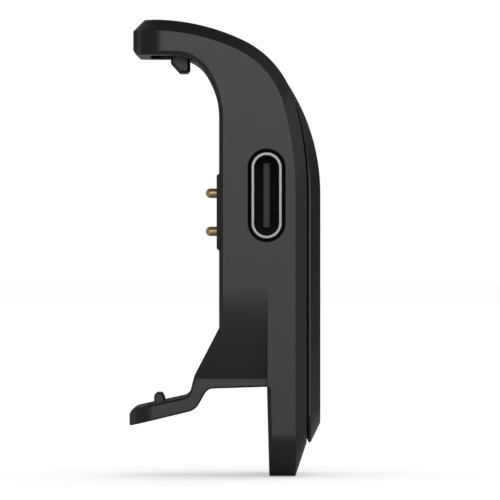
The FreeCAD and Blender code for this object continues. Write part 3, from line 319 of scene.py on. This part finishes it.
# the moulded finishes start from this one; lengths in metres, sizes of noise per metre
satinBlack = {
    "colour": (0.0110, 0.0110, 0.0115, 1),
    "toneSpread": 0.25,
    "toneSize": 140.0,
    "grainSize": 9000.0,
    "grainBite": 1.0,
    "roughness": 0.31,
    "roughnessSpread": 0.05,
    "specular": 0.65,
    "bumpStrength": 0.30,
    "bumpDepth": 0.000012,
    "edgeRadius": 0.00010,
    "edgeReach": 2.0,
    # slightly lighter edges: a painted edge highlight
    "edgeColour": (0.013, 0.013, 0.0135, 1),
    "edgePolish": 0.04,
}
looks = {
    "housingPlastic": satinBlack,
    "coverPlastic": {
        **satinBlack,
        "colour": (0.0085, 0.0085, 0.0090, 1),
        "grainSize": 11000.0,
        "roughness": 0.30,
    },
    "padPlastic": {
        **satinBlack,
        "colour": (0.0100, 0.0100, 0.0105, 1),
        "roughness": 0.42,
        "edgeRadius": 0.00005,
    },
    "sealRubber": {
        **satinBlack,
        "colour": (0.0030, 0.0030, 0.0030, 1),
        "grainSize": 14000.0,
        "roughness": 0.80,
        "specular": 0.10,
        "edgeRadius": 0.00005,
        # slightly lighter edges: a painted edge highlight
        "edgeColour": (0.0040, 0.0040, 0.0040, 1),
        "edgePolish": 0.0,
    },
    "tonguePlastic": {
        **satinBlack,
        "colour": (0.045, 0.045, 0.046, 1),
        "grainSize": 16000.0,
        "roughness": 0.42,
        "specular": 0.15,
        "edgeRadius": 0.00020,
        "edgeReach": 5.0,
        # dark rounded edges of the tongue: painted shade
        "edgeColour": (0.012, 0.012, 0.012, 1),
        "paintedShadeColour": (0.002, 0.002, 0.002, 1),  # painted shade far inside the port
        "paintedShadeFrom": 0.0008,  # behind the tongue's front
        "paintedShadeTo": 0.0030,
    },
    # the gold contacts get a dark brown colour: painted shade inside the port; their lighter
    # edge colour is a painted edge highlight
    "portShadedContactPlate": {
        **satinBlack,
        "colour": (0.030, 0.020, 0.008, 1),
        "grainSize": 16000.0,
        "roughness": 0.60,
        "edgeRadius": 0.00003,
        "edgeColour": (0.05, 0.035, 0.012, 1),
    },
    "chipBlack": {
        **satinBlack,
        "colour": (0.0150, 0.0150, 0.0150, 1),
        "roughness": 0.6,
        "edgeRadius": 0.00003,
    },
    "capacitorCeramic": {
        **satinBlack,
        "colour": (0.28, 0.20, 0.12, 1),
        "roughness": 0.5,
        "edgeRadius": 0.00005,
        "edgeReach": 8.0,
        "edgeColour": (0.55, 0.55, 0.53, 1),  # tinned ends
    },
    "boardLaminate": {
        **satinBlack,
        "colour": (0.008, 0.060, 0.026, 1),
        "toneSpread": 0.5,
        "grainSize": 5000.0,
        "roughness": 0.32,
        "edgeRadius": 0.00005,
        "edgeColour": (0.30, 0.26, 0.14, 1),  # bare laminate
    },
    "goldPlate": {
        "colour": (0.93, 0.70, 0.37, 1),
        "tarnish": (0.60, 0.38, 0.15, 1),
        "tarnishAmount": 0.20,
        "stretch": (1.0, 1.0, 1.0),
        "lineSize": 9000.0,
        "roughness": 0.42,
        "roughnessSpread": 0.10,
        "specular": 0.5,
        "bumpStrength": 0.10,
        "bumpDepth": 0.000004,
        "edgeRadius": 0.00005,
        "edgeReach": 1.0,
        # paler edges: a painted edge highlight
        "edgeColour": (0.95, 0.76, 0.45, 1),
        "edgePolish": 0.05,
    },
    "shellSteel": {
        "colour": (0.34, 0.34, 0.35, 1),
        "tarnish": (0.24, 0.24, 0.25, 1),
        "tarnishAmount": 0.30,
        "stretch": (1.0, 0.12, 1.0),  # drawn along the shell
        "lineSize": 12000.0,
        "roughness": 0.24,
        "roughnessSpread": 0.12,
        "specular": 0.5,
        "bumpStrength": 0.12,
        "bumpDepth": 0.000004,
        "edgeRadius": 0.00012,
        "edgeReach": 1.0,
        # darker edges: painted edge shade
        "edgeColour": (0.30, 0.30, 0.31, 1),
        "edgePolish": 0.05,
    },
}
looks["springSteel"] = {
    **looks["shellSteel"],
    "colour": (0.50, 0.50, 0.51, 1),
    "stretch": (1.0, 1.0, 1.0),
    "edgeRadius": 0.00002,
}
looks["screwSteel"] = {
    **looks["shellSteel"],
    "colour": (0.46, 0.46, 0.48, 1),
    "stretch": (1.0, 1.0, 1.0),
    "roughness": 0.34,
    "edgeRadius": 0.00004,
}
finishes = {name: makeFinish(name, look) for name, look in looks.items()}
print("finishes made:", len(finishes))

# the finish of each piece, by its whole name or else by how its name starts
finishOf = {
    "main_housing": "housingPlastic",
    "outer_cover": "coverPlastic",
    "cover_gasket": "sealRubber",
    "port_gasket": "sealRubber",
    "contact_carrier": "padPlastic",
    "circuit_board": "boardLaminate",
    "board_screws": "screwSteel",
    "usb_shell": "shellSteel",
    "usb_shield_plate": "shellSteel",
    "usb_insulator": "tonguePlastic",
    "usb_contacts": "portShadedContactPlate",
    "chip_capacitors": "capacitorCeramic",
}
finishByStart = {
    "contact_pin": "goldPlate",
    "pin_barrel": "goldPlate",
    "pin_spring": "springSteel",
    "chip": "chipBlack",
    "surge": "chipBlack",
    "power": "chipBlack",
    "resettable": "chipBlack",
}
for name, piece in nodes.items():
    found = finishOf.get(name) or next(
        finish for start, finish in finishByStart.items() if name.startswith(start))
    if not piece.material_slots:
        piece.data.materials.append(None)
    for materialSlot in piece.material_slots:
        materialSlot.material = finishes[found]
print("finishes placed")

floorSet = {
    "height": -0.02760,  # just under the foot
    "size": 6.0,
    "colour": (0.80, 0.80, 0.80, 1),
    "mirroredNear": (0.35, 0.35, 0.35, 1),  # what gloss sees of it round the clip
    "mirroredFar": (0.04, 0.04, 0.04, 1),
    "nearEnd": 0.25,
    "farStart": 0.60,
    "lift": 0.42,  # glow seen by the camera: the lit floor is white and its shadow stays
    "toneSpread": 0.01,
    "toneSize": 4.0,
    "grainSize": 900.0,
    "grainBite": 0.2,
    "roughness": 0.9,
    "roughnessSpread": 0.02,
}
half = floorSet["size"] / 2
floorMesh = bpy.data.meshes.new("studioFloor")
floorMesh.from_pydata(
    [(-half, -half, 0), (half, -half, 0), (half, half, 0), (-half, half, 0)],
    [], [(0, 1, 2, 3)])
floor = bpy.data.objects.new("studioFloor", floorMesh)
floor.location.z = floorSet["height"]
bpy.context.scene.collection.objects.link(floor)


def makePaper():
    paper = bpy.data.materials.new("studioPaper")
    paper.use_nodes = True
    add = newTree(paper.node_tree)
    link = paper.node_tree.links.new
    skin = placeGroup(
        add, mouldedSkin, {label: floorSet[key] for label, key in mouldedInputs.items()})
    ray = add("ShaderNodeLightPath")

    # gloss sees a darker floor further out
    place = add("ShaderNodeTexCoord")
    reach = add("ShaderNodeVectorMath", operation="LENGTH")
    outward = add("ShaderNodeMapRange", {
        "From Min": floorSet["nearEnd"],
        "From Max": floorSet["farStart"],
    })
    mirrored = add("ShaderNodeMix", {
        "A": floorSet["mirroredNear"],
        "B": floorSet["mirroredFar"],
    }, data_type="RGBA")
    colour = add("ShaderNodeMix", data_type="RGBA")
    shade = add("ShaderNodeBsdfDiffuse")
    link(place.outputs["Object"], reach.inputs[0])
    link(reach.outputs["Value"], outward.inputs["Value"])
    link(outward.outputs["Result"], mirrored.inputs["Factor"])
    link(ray.outputs["Is Glossy Ray"], colour.inputs["Factor"])
    link(skin.outputs["Colour"], colour.inputs["A"])
    link(mirrored.outputs["Result"], colour.inputs["B"])
    link(colour.outputs["Result"], shade.inputs["Color"])

    # the glow is there for what is seen directly
    seen = add("ShaderNodeMath", operation="MAXIMUM")
    glow = add("ShaderNodeEmission", {"Strength": floorSet["lift"]})
    noGlow = add("ShaderNodeEmission", {"Strength": 0.0})
    gate = add("ShaderNodeMixShader")
    total = add("ShaderNodeAddShader")
    output = add("ShaderNodeOutputMaterial")
    link(ray.outputs["Is Camera Ray"], seen.inputs[0])
    link(ray.outputs["Is Transmission Ray"], seen.inputs[1])
    link(seen.outputs[0], gate.inputs["Fac"])
    link(noGlow.outputs[0], gate.inputs[1])
    link(glow.outputs[0], gate.inputs[2])
    link(shade.outputs[0], total.inputs[0])
    link(gate.outputs[0], total.inputs[1])
    link(total.outputs[0], output.inputs["Surface"])
    return paper


floorMesh.materials.append(makePaper())
print("floor laid")

studio = {
    "fill": 0.70,  # what matt surfaces get from all round
    # what gloss sees of the room: (0 straight down to 1 straight up, grey)
    "mirror": [(0.25, 0.03), (0.52, 0.05), (0.68, 0.20), (0.85, 0.16), (0.97, 0.03)],
    "white": (1, 1, 1, 1),
}
world = bpy.data.worlds.new("studioRoom")
bpy.context.scene.world = world
world.use_nodes = True


def buildRoom():
    add = newTree(world.node_tree)
    link = world.node_tree.links.new
    ray = add("ShaderNodeLightPath")
    place = add("ShaderNodeTexCoord")
    parts = add("ShaderNodeSeparateXYZ")
    height = add("ShaderNodeMapRange", {"From Min": -1.0, "From Max": 1.0})
    ramp = add("ShaderNodeValToRGB")
    link(place.outputs["Generated"], parts.inputs[0])
    link(parts.outputs["Z"], height.inputs["Value"])
    link(height.outputs[0], ramp.inputs["Fac"])
    stops = ramp.color_ramp.elements
    for index, (position, grey) in enumerate(studio["mirror"]):
        stop = stops[index] if index < len(stops) else stops.new(position)
        stop.position = position
        stop.color = (grey, grey, grey, 1)

    mirror = add("ShaderNodeBackground")
    fill = add("ShaderNodeBackground", {"Color": studio["white"], "Strength": studio["fill"]})
    backdrop = add("ShaderNodeBackground", {"Color": studio["white"], "Strength": 1.0})
    glossyGate = add("ShaderNodeMixShader")
    seen = add("ShaderNodeMath", operation="MAXIMUM")
    seenGate = add("ShaderNodeMixShader")
    output = add("ShaderNodeOutputWorld")
    link(ramp.outputs["Color"], mirror.inputs["Color"])
    link(ray.outputs["Is Glossy Ray"], glossyGate.inputs["Fac"])
    link(fill.outputs[0], glossyGate.inputs[1])
    link(mirror.outputs[0], glossyGate.inputs[2])
    link(ray.outputs["Is Camera Ray"], seen.inputs[0])
    link(ray.outputs["Is Transmission Ray"], seen.inputs[1])
    link(seen.outputs[0], seenGate.inputs["Fac"])
    link(glossyGate.outputs[0], seenGate.inputs[1])
    link(backdrop.outputs[0], seenGate.inputs[2])
    link(seenGate.outputs[0], output.inputs["Surface"])


buildRoom()

softboxAim = (0.001, 0, -0.004)  # near the middle of the clip
softboxes = {
    "frontBox": {"from": (0.0, -1.10, -0.03), "size": (0.60, 0.95), "radiance": 2.0},
    "leftBox": {"from": (-0.9, 0.25, 0.05), "size": (0.25, 0.8), "radiance": 0.55},
    "rightBox": {"from": (1.0, -0.15, 0.0), "size": (0.4, 0.7), "radiance": 0.65},
    "backBox": {"from": (0.5, 0.9, 1.0), "size": (0.8, 0.8), "radiance": 0.8},
}
for name, box in softboxes.items():
    lampData = bpy.data.lights.new(name, "AREA")
    lampData.shape = "RECTANGLE"
    lampData.size, lampData.size_y = box["size"]
    lampData.energy = box["radiance"] * math.pi * box["size"][0] * box["size"][1]
    lamp = bpy.data.objects.new(name, lampData)
    lamp.location = box["from"]
    toward = Vector(softboxAim) - lamp.location
    lamp.rotation_mode = "QUATERNION"
    lamp.rotation_quaternion = toward.to_track_quat("-Z", "Y")
    lamp.visible_camera = False
    bpy.context.scene.collection.objects.link(lamp)
print("studio lit")
